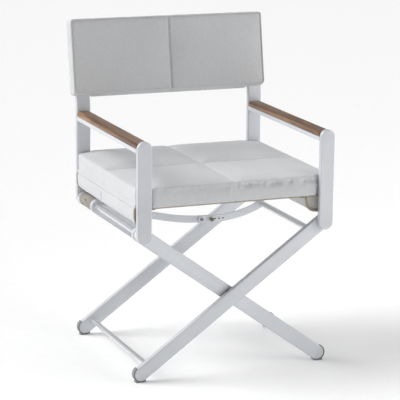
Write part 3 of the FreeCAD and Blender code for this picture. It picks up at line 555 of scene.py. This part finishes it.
def seat_tucks(co):
    """Small gathers under the front's top edge, stronger on the right half."""
    depth = co.y - TUCK_START
    if depth > 2 * TUCK_FULL:
        return Vector((0, 0, 0))
    fade = 1.0 - max(0.0, depth - TUCK_FULL) / TUCK_FULL
    band = valley(co.z - (SEAT_TOP - TUCK_DOWN), TUCK_WIDE)
    gather = noise.noise(Vector((co.x * TUCK_WAVES[0], co.z * TUCK_WAVES[1], 3.7)))
    gather += TUCK_FINE_SHARE * noise.noise(
        Vector((co.x * TUCK_FINE_WAVES[0], co.z * TUCK_FINE_WAVES[1], 9.1)))
    rightness = math.tanh((co.x - TUCK_TURN_X) / TUCK_TURN_WIDE)
    side = (1 - TUCK_LESS_LEFT) + TUCK_LESS_LEFT * rightness
    pull = band * fade * side * TUCK_DEPTH
    top = valley(co.z - (SEAT_TOP - SCALLOP_DOWN), SCALLOP_WIDE) * fade * side
    scallop = noise.noise(Vector((co.x * SCALLOP_WAVES, 1.3, 5.5)))
    return Vector((0, pull * (TUCK_EVEN + gather), SCALLOP * top * scallop))


def seat_cushion():
    half = [(SEAT_INNER, SEAT_FRONT), (SEAT_INNER, SEAT_LOBE_FRONT), (SEAT_SIDE, SEAT_LOBE_FRONT),
            (SEAT_SIDE, SEAT_LOBE_REAR), (SEAT_INNER, SEAT_LOBE_REAR), (SEAT_INNER, SEAT_BEHIND),
            (SEAT_TAIL, SEAT_BEHIND), (SEAT_TAIL, SEAT_REAR)]
    outline = half + [(-x, y) for x, y in reversed(half)]
    item = slab("seat_cushion", outline, SEAT_BASE, SEAT_TOP, SEAT_ROUND, SEAT_LOW_ROUND,
                SEAT_CLOTH)
    for vertex in item.data.vertices:
        vertex.co = seat_shape(vertex.co)
    inflate(item, seat_pinned, SEAT_SWELL, SEAT_PRESSURE, CLOTH_SLACK)
    subdivide(item)
    for vertex in item.data.vertices:
        co = vertex.co
        if co.z > SEAT_BASE + CREASE_FROM * SEAT_TALL:
            rim = min(1.0, max(seat_shares(co)))
            co.z -= CREASE_DEPTH * seat_seam(co, CREASE_WIDE) * (1 - 0.8 * rim ** 12)
        co += seat_tucks(co)
        if co.z < SEAT_BASE + FLUSH_TALL and abs(co.x) > SEAT_SIDE - FLUSH_WIDE:
            co.x = math.copysign(max(abs(co.x), SEAT_FLUSH), co.x)
    clear_of_posts(item)
    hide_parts("seat_cushion_left", "seat_cushion_right")
    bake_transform(item)


def clear_of_posts(item):
    """Keep the cushion out of the posts: beside them, in front of them or behind them."""
    side = POST_X - POST_HALF - POST_FREE
    front = SHIFT - POST_FACE + POST_FREE
    rear = SHIFT + POST_FACE - POST_FREE
    behind = SHIFT + POST_BACK + POST_FREE
    for vertex in item.data.vertices:
        x, y, _ = vertex.co
        if abs(x) <= side or front <= y <= rear or y >= behind:
            continue
        if y < front:
            nearest = front
        else:
            nearest = rear if y - rear < behind - y else behind
        if abs(x) - side < abs(y - nearest):
            vertex.co.x = math.copysign(side, x)
        else:
            vertex.co.y = nearest


# ---- back cushion ---------------------------------------------------------------------------

LEAN = math.radians(10.0)   # of the rear posts above their bend
POST_THICK = 15.0 * MM
BEND_RADIUS = 120.0 * MM
LEAN_START = 660.0 * MM
BACK_BOTTOM = 694.0 * MM
BACK_LOW = -2.0 * MM        # lower edge in the back cushion's own axes
BACK_TALL = 211.0 * MM      # upper edge in them
BACK_HALF = 286.5 * MM
BACK_THICK = 43.0 * MM
BACK_MIDDLE_Z = (BACK_TALL + BACK_LOW) / 2
BACK_HALF_TALL = (BACK_TALL - BACK_LOW) / 2
BACK_ROUND = 3.5 * MM
BACK_LOW_ROUND = 3.0 * MM
BACK_CORNER = 10.0 * MM
BACK_CROWN = 8.0 * MM
BACK_TUCK = 8.0 * MM        # height of the lower edge's tuck
BACK_HANG = 5.0 * MM        # how far the lower edge hangs between the posts
BACK_HANG_HALF = 238.0 * MM
BACK_HANG_RISE = 12.0 * MM
BACK_WIDER_LEFT = 5.0 * MM
BACK_SWELL = 5.0 * MM
BACK_PRESSURE = 2.5
BACK_PIN_WIDE = 5.0 * MM    # of the faces, the upper edge and the middle seam
BACK_PIN_SIDE_OUT = 1.0 * MM
BACK_PIN_SIDE_WIDE = 6.0 * MM
BACK_PIN_LOW_WIDE = 4.0 * MM
BACK_PIN_LOW_SHARE = 0.8    # how firmly the lower edge is held
BACK_SEAM_DEPTH = 4.0 * MM
BACK_SEAM_WIDE = 2.8 * MM
BACK_SEAM_LOW = BACK_LOW + 3.0 * MM
BACK_SEAM_HIGH = BACK_TALL - 2.0 * MM

PIPING = 1.7 * MM
PIPING_CORNER = 7.0 * MM
PIPING_IN = 1.5 * MM        # from the upper and side edges
PIPING_UP = 7.0 * MM        # from the lower edge
PIPING_OUT = 0.2 * MM       # in front of the block's face
PIPING_TURNS = 6            # steps around a corner
PIPING_STEP = 6.0 * MM


def back_frame():
    """From the back cushion's own axes (x, thickness, up) to the chair's."""
    middle = BEND_RADIUS - POST_THICK / 2
    bend_y = SHIFT + POST_FACE + BEND_RADIUS - middle * math.cos(LEAN)
    bend_z = LEAN_START + middle * math.sin(LEAN)
    up = (BACK_BOTTOM - bend_z) / math.cos(LEAN)
    origin = Vector((0, bend_y + up * math.sin(LEAN), BACK_BOTTOM))
    return Matrix.Translation(origin) @ Matrix.Rotation(-LEAN, 4, "X")


def wider_left(x):
    """How far a point at x moves left, so that the cushion stands out on that side."""
    return BACK_WIDER_LEFT * smooth_step(-x / BACK_HALF)


def back_shape(co):
    """Two crowned panels in front, and a lower edge that tucks back and hangs lower."""
    front = max(0.0, -co.y / (BACK_THICK / 2))
    aside = 2 * abs(abs(co.x) / BACK_HALF - 0.5)
    along = abs(co.z - BACK_MIDDLE_Z) / BACK_HALF_TALL
    crown = BACK_CROWN * (1 - aside ** 4) * (1 - along ** 4)
    low = max(0.0, 1 - (co.z - BACK_LOW) / BACK_TUCK)
    hang = BACK_HANG * low * smooth_step((BACK_HANG_HALF - abs(co.x)) / BACK_HANG_RISE)
    moved = Vector((co.x - wider_left(co.x), co.y - front * (crown - BACK_TUCK * low),
                    co.z - hang))
    return round_corner(moved)


def round_corner(co):
    """Pull a point in to the rounded corners of the back cushion's outline."""
    is_right, is_high = co.x > 0, co.z > BACK_MIDDLE_Z
    if is_right:
        x = co.x - (BACK_HALF - BACK_CORNER)
    else:
        x = co.x + (BACK_HALF + BACK_WIDER_LEFT - BACK_CORNER)
    past_x = x if is_right else -x
    past_z = co.z - (BACK_TALL - BACK_CORNER) if is_high else (BACK_LOW + BACK_CORNER) - co.z
    reach = math.hypot(past_x, past_z)
    if past_x <= 0 or past_z <= 0 or reach <= BACK_CORNER:
        return co
    pull = BACK_CORNER / reach - 1
    return co + Vector((x * pull, 0, (past_z if is_high else -past_z) * pull))


def back_pinned(co):
    """How firmly the cloth simulation holds a point: outline, middle seam and lower edge."""
    edge_x = valley(abs(co.x) - (BACK_HALF + BACK_PIN_SIDE_OUT), BACK_PIN_SIDE_WIDE)
    edge_z = max(valley(co.z - BACK_LOW - BACK_TUCK, BACK_PIN_LOW_WIDE),
                 valley(co.z - BACK_TALL, BACK_PIN_WIDE))
    face = max(valley(co.y + BACK_THICK / 2, BACK_PIN_WIDE),
               valley(co.y - BACK_THICK / 2, BACK_PIN_WIDE))
    seam = valley(co.x, BACK_PIN_WIDE) if co.y < 0 else 0.0
    bottom = BACK_PIN_LOW_SHARE if co.z < BACK_LOW + BACK_PIN_LOW_WIDE else 0.0
    return min(1.0, max(face * max(edge_x, edge_z), seam, bottom))


def back_cushion():
    half, thick = BACK_HALF, BACK_THICK / 2
    outline = [(-half, -thick), (half, -thick), (half, thick), (-half, thick)]
    item = slab("back_cushion", outline, BACK_LOW, BACK_TALL, BACK_ROUND, BACK_LOW_ROUND,
                SEAT_CLOTH)
    for vertex in item.data.vertices:
        vertex.co = back_shape(vertex.co)
    inflate(item, back_pinned, BACK_SWELL, BACK_PRESSURE, CLOTH_SLACK)
    subdivide(item)
    for vertex in item.data.vertices:
        if vertex.co.y < 0 and BACK_SEAM_LOW < vertex.co.z < BACK_SEAM_HIGH:
            vertex.co.y += BACK_SEAM_DEPTH * valley(vertex.co.x, BACK_SEAM_WIDE)
    add_piping(item)
    item.data.transform(back_frame())
    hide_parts("back_cushion_left", "back_cushion_right")
    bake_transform(item)


def add_piping(item):
    """Sewn cord around the back cushion's front face, joined to the cushion's mesh."""
    half = BACK_HALF - PIPING_IN - PIPING_CORNER
    low = BACK_LOW + PIPING_UP + PIPING_CORNER
    high = BACK_TALL - PIPING_IN - PIPING_CORNER
    y = -BACK_THICK / 2 - PIPING_OUT
    centres = [(half, high), (-half, high), (-half, low), (half, low)]
    arcs = []
    for number, (centre_x, centre_z) in enumerate(centres):
        turns = [math.radians(90 * (number + step / PIPING_TURNS))
                 for step in range(PIPING_TURNS + 1)]
        arcs.append([Vector((centre_x + PIPING_CORNER * math.cos(turn), y,
                             centre_z + PIPING_CORNER * math.sin(turn))) for turn in turns])
    path = []
    for arc, following in zip(arcs, arcs[1:] + arcs[:1]):
        start, end = arc[-1], following[0]
        count = max(2, int((end - start).length / PIPING_STEP))
        path += arc + [start.lerp(end, step / count) for step in range(1, count)]
    for point in path:
        point.x -= wider_left(point.x)
    cord = ribbon("piping", path, PIPING, PIPING, ALONG_Y, SEAT_CLOTH, closed=True)
    joined = bmesh.new()
    joined.from_mesh(item.data)
    joined.from_mesh(cord.data)
    joined.to_mesh(item.data)
    joined.free()
    bpy.data.objects.remove(cord)
    smooth_faces(item)


# ---- sling ----------------------------------------------------------------------------------

SLEEVE_OUTER = 282.5 * MM
SLEEVE_INNER = {"left": 245.5 * MM, "right": 210.5 * MM}
SLEEVE_HIGH = 32.0 * MM
SLEEVE_POWER = 2.0 / 2.6    # makes the sleeve's outline squarer than an ellipse
SLEEVE_START = -30          # where the cloth meets the sleeve, in degrees from straight up
SLEEVE_TURN = 286           # how far it runs around
SLEEVE_STEPS = 40
SLING_Z = 473.5 * MM
SLING_HALF_DEPTH = 238.0 * MM
SLING_GAP = 0.5 * MM        # between the middle seam and each half's edge
SLING_ROWS = 36
SLING_RIPPLE = 0.7 * MM     # unevenness of the cloth around the sleeve
FLAT_POINTS = 14
CLOTH_THICK = 1.6 * MM

CORE_INSET = 5.0 * MM
CORE_SHRINK = 2.2 * MM
CORE_HOLE = 11.4 * MM       # radius around the rail

BINDING_IN = 2.5 * MM
BINDING_HALF_WIDE = 3.2 * MM
BINDING_HALF_THICK = 2.9 * MM
SLEEVE_SEAM_Y = 29.0 * MM
SLEEVE_SEAM_START = 88      # in degrees around the sleeve
SLEEVE_SEAM_TURN = 32
SLEEVE_SEAM_STEPS = 8
SLEEVE_SEAM_HALF_WIDE = 1.2 * MM
SLEEVE_SEAM_HALF_THICK = 0.6 * MM


def side_sign(side):
    return -1 if side == "left" else 1


def sleeve_point(side, turn, grow=0.0):
    """A point on the sleeve's outline: turn 0 is straight up, and it runs outwards and under."""
    inner = SLEEVE_INNER[side]
    half = (SLEEVE_OUTER - inner) / 2
    up, out = math.cos(turn), math.sin(turn)
    x = math.copysign(abs(out) ** SLEEVE_POWER, out) * (half + grow)
    z = math.copysign(abs(up) ** SLEEVE_POWER, up) * (SLEEVE_HIGH + grow)
    top = SLING_Z - RAIL_Z + grow
    return Vector((side_sign(side) * (inner + half + x), 0, RAIL_Z + min(z, top)))


def sling_path(side):
    """The sling's run from the middle seam, over the rail's sleeve and back underneath."""
    inner = SLEEVE_INNER[side]
    half = (SLEEVE_OUTER - inner) / 2
    flat = [(SLING_GAP + (inner - SLING_GAP) * step / FLAT_POINTS, 0.0)
            for step in range(FLAT_POINTS)]
    under = [(inner - 0.04 * half, 7.0 * MM), (inner - 9.0 * MM, 2.6 * MM),
             (inner - 20.0 * MM, 2.4 * MM)]
    turns = [math.radians(SLEEVE_START + SLEEVE_TURN * step / SLEEVE_STEPS)
             for step in range(SLEEVE_STEPS + 1)]
    sign = side_sign(side)
    return ([Vector((sign * x, 0, SLING_Z - down)) for x, down in flat]
            + [sleeve_point(side, turn) for turn in turns]
            + [Vector((sign * x, 0, SLING_Z - down)) for x, down in under])


def sling(side):
    """One half of the seat's sling: its cloth, and the pieces sewn to it or wrapped in it."""
    body = "seat_" + side
    path = sling_path(side)
    vertices = []
    for row in range(SLING_ROWS + 1):
        y = SHIFT - SLING_HALF_DEPTH + 2 * SLING_HALF_DEPTH * row / SLING_ROWS
        for number, point in enumerate(path):
            ripple = 0.0
            if number > FLAT_POINTS:
                place = Vector((y * 22, number * 0.35, side_sign(side) * 5))
                ripple = SLING_RIPPLE * noise.noise(place)
            vertices.append(point + Vector((ripple, y, ripple * 0.5)))
    wide = len(path)
    faces = [(row * wide + column, row * wide + column + 1, (row + 1) * wide + column + 1,
              (row + 1) * wide + column)
             for row in range(SLING_ROWS) for column in range(wide - 1)]
    item = mesh_object("seat_sling_cloth_" + side, vertices, faces, SEAT_CLOTH)
    thick = item.modifiers.new("thick", "SOLIDIFY")
    thick.thickness = CLOTH_THICK
    thick.offset = 0.0
    apply_modifiers(item)
    smooth_faces(item)
    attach(item, body)
    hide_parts("seat_sling_" + side)
    sling_core(side, body)
    sewn_on = [sling_binding(side, body, end) for end in ("front", "rear")]
    sewn_on.append(sleeve_seam(side, body))


def sling_core(side, body):
    """Foam that fills the sleeve around the rail, set in a little at both ends."""
    turns = [2 * math.pi * step / SLEEVE_STEPS for step in range(SLEEVE_STEPS)]
    vertices = []
    for y in (SHIFT - SLING_HALF_DEPTH + CORE_INSET, SHIFT + SLING_HALF_DEPTH - CORE_INSET):
        vertices += [sleeve_point(side, turn, -CORE_SHRINK) + Vector((0, y, 0)) for turn in turns]
        vertices += [Vector((side_sign(side) * (RAIL_X + math.sin(turn) * CORE_HOLE), y,
                             RAIL_Z + math.cos(turn) * CORE_HOLE)) for turn in turns]
    outer_front, hole_front, outer_rear, hole_rear = range(4)
    faces = []
    for first, second in ((outer_front, hole_front), (hole_front, hole_rear),
                          (hole_rear, outer_rear), (outer_rear, outer_front)):
        here, there = first * SLEEVE_STEPS, second * SLEEVE_STEPS
        for step in range(SLEEVE_STEPS):
            turned = (step + 1) % SLEEVE_STEPS
            faces.append((here + step, here + turned, there + turned, there + step))
    item = mesh_object("sleeve_foam_" + side, vertices, faces, SLING_CLOTH, smooth=False)
    mesh = bmesh.new()
    mesh.from_mesh(item.data)
    bmesh.ops.recalc_face_normals(mesh, faces=mesh.faces)
    mesh.to_mesh(item.data)
    mesh.free()
    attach(item, body)


def sling_binding(side, body, end):
    """Beige tape folded over the sling's front or rear edge."""
    inset = SLING_HALF_DEPTH - BINDING_IN
    y = SHIFT + (inset if end == "rear" else -inset)
    path = [point + ALONG_Y * y for point in sling_path(side)]
    item = ribbon("sling_binding_%s_%s" % (end, side), path, BINDING_HALF_WIDE,
                  BINDING_HALF_THICK, ALONG_Y, BINDING)
    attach(item, body)
    return item


def sleeve_seam(side, body):
    """Short upright seam on the sleeve's outer side, sewn with a darker thread."""
    path = []
    for step in range(SLEEVE_SEAM_STEPS + 1):
        turn = math.radians(SLEEVE_SEAM_START + SLEEVE_SEAM_TURN * step / SLEEVE_SEAM_STEPS)
        path.append(sleeve_point(side, turn, CLOTH_THICK / 2) + ALONG_Y * (SHIFT + SLEEVE_SEAM_Y))
    item = ribbon("sleeve_seam_" + side, path, SLEEVE_SEAM_HALF_WIDE, SLEEVE_SEAM_HALF_THICK,
                  ALONG_Y, THREAD)
    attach(item, body)
    return item


# ---- stay's adjusting holes -----------------------------------------------------------------

ELBOW_X = 43.3 * MM
ELBOW_Z = 343.5 * MM
LOCK_STEP = 28.7 * MM       # from the elbow to the lock pin
HOLE_STEP = 12.1 * MM       # from there to each adjusting hole
LINK_PLANE = 102.0 * MM     # front of the right link, from SHIFT
# the dark discs sized below are painted shade in the adjusting holes, not real plugs
SHADE_PLUG_RADIUS = 2.15 * MM
SHADE_PLUG_LONG = 3.0 * MM
SHADE_PLUG_PROUD = 0.3 * MM


def hole_shade_plugs():
    """Black discs set in the right link's three adjusting holes: painted shade, so that the holes
    read dark.
    """
    for number in (1, 2, 3):
        start = Vector((ELBOW_X + LOCK_STEP + HOLE_STEP * number,
                        SHIFT + LINK_PLANE - SHADE_PLUG_PROUD, ELBOW_Z))
        shade_plug = ribbon("hole_shade_plug_%d" % number, [start, start + ALONG_Y * SHADE_PLUG_LONG],
                      SHADE_PLUG_RADIUS, SHADE_PLUG_RADIUS, ALONG_X, NYLON_AND_SHADE)
        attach(shade_plug, "stay_right")


# ---- stage ----------------------------------------------------------------------------------

FLOOR_HALF = 30.0
WORLD_STRENGTH = 0.32
LIGHT_AWAY = 4.0            # a sun's place doesn't change its light
CAMERA_PLACE = (-1990.2 * MM, -4951.7 * MM, 1657.8 * MM)
CAMERA_YAW = -21.964
CAMERA_DOWN = 13.053
CAMERA_ROLL = 0.666
CAMERA_LENS = 177.2
CAMERA_SENSOR = 36.0


def stage():
    """Plain pale floor under a white world, two broad suns and one softbox."""
    size = FLOOR_HALF
    floor = mesh_object("floor", [(-size, -size, 0), (size, -size, 0), (size, size, 0),
                                  (-size, size, 0)], [(0, 1, 2, 3)], floor_material(),
                        smooth=False)
    world = bpy.data.worlds.new("studio")
    world.use_nodes = True
    background = world.node_tree.nodes["Background"]
    background.inputs["Color"].default_value = (1.0, 1.0, 1.0, 1.0)
    background.inputs["Strength"].default_value = WORLD_STRENGTH
    bpy.context.scene.world = world
    bpy.context.scene.view_settings.view_transform = "Standard"
    add_sun("key", towards=(-1.0, 0.45, 0.78), power=2.85, spread=48.0)
    add_sun("top", towards=(0.15, 0.25, 1.0), power=0.47, spread=70.0)
    add_panel("fill", place=(2.4, -2.0, 1.2), aim=(0.05, 0.0, 0.55), wide=1.6, power=31.0)


def floor_material():
    m = Nodes("floor")
    grain = m.noise(m.coordinates(), scale=30.0, detail=3.0)
    m.principled(Base_Color=m.ramp(grain, [(0.3, (0.95, 0.95, 0.95)), (0.7, (0.97, 0.97, 0.97))]),
                 Roughness=0.9)
    return m.material


def add_lamp(light, place, direction):
    """Link a light at place, shining in direction, and keep it out of the model."""
    item = bpy.data.objects.new(light.name, light)
    item.location = place
    item.rotation_euler = direction.to_track_quat("-Z", "Y").to_euler()
    bpy.context.scene.collection.objects.link(item)


def add_sun(name, towards, power, spread):
    """A far, broad light from the direction towards, spread degrees across."""
    light = bpy.data.lights.new(name, "SUN")
    light.energy = power
    light.angle = math.radians(spread)
    add_lamp(light, Vector(towards) * LIGHT_AWAY, -Vector(towards))


def add_panel(name, place, aim, wide, power):
    """A square softbox near the chair, so that it lights the near side a little more."""
    light = bpy.data.lights.new(name, "AREA")
    light.size = wide
    light.energy = power
    add_lamp(light, Vector(place), Vector(aim) - Vector(place))


def camera():
    """The photo's camera, as fitted to the frame's straight edges."""
    data = bpy.data.cameras.new("camera")
    data.sensor_width = CAMERA_SENSOR
    data.lens = CAMERA_LENS
    data.clip_end = 100.0
    item = bpy.data.objects.new("camera", data)
    bpy.context.scene.collection.objects.link(item)
    turn = (Matrix.Rotation(math.radians(CAMERA_YAW), 4, "Z")
            @ Matrix.Rotation(math.radians(90 - CAMERA_DOWN), 4, "X")
            @ Matrix.Rotation(math.radians(CAMERA_ROLL), 4, "Z"))
    item.matrix_world = Matrix.Translation(CAMERA_PLACE) @ turn
    bpy.context.scene.camera = item


dress_frame()
seat_cushion()
back_cushion()
for side_name in ("left", "right"):
    sling(side_name)
hole_shade_plugs()
stage()
camera()
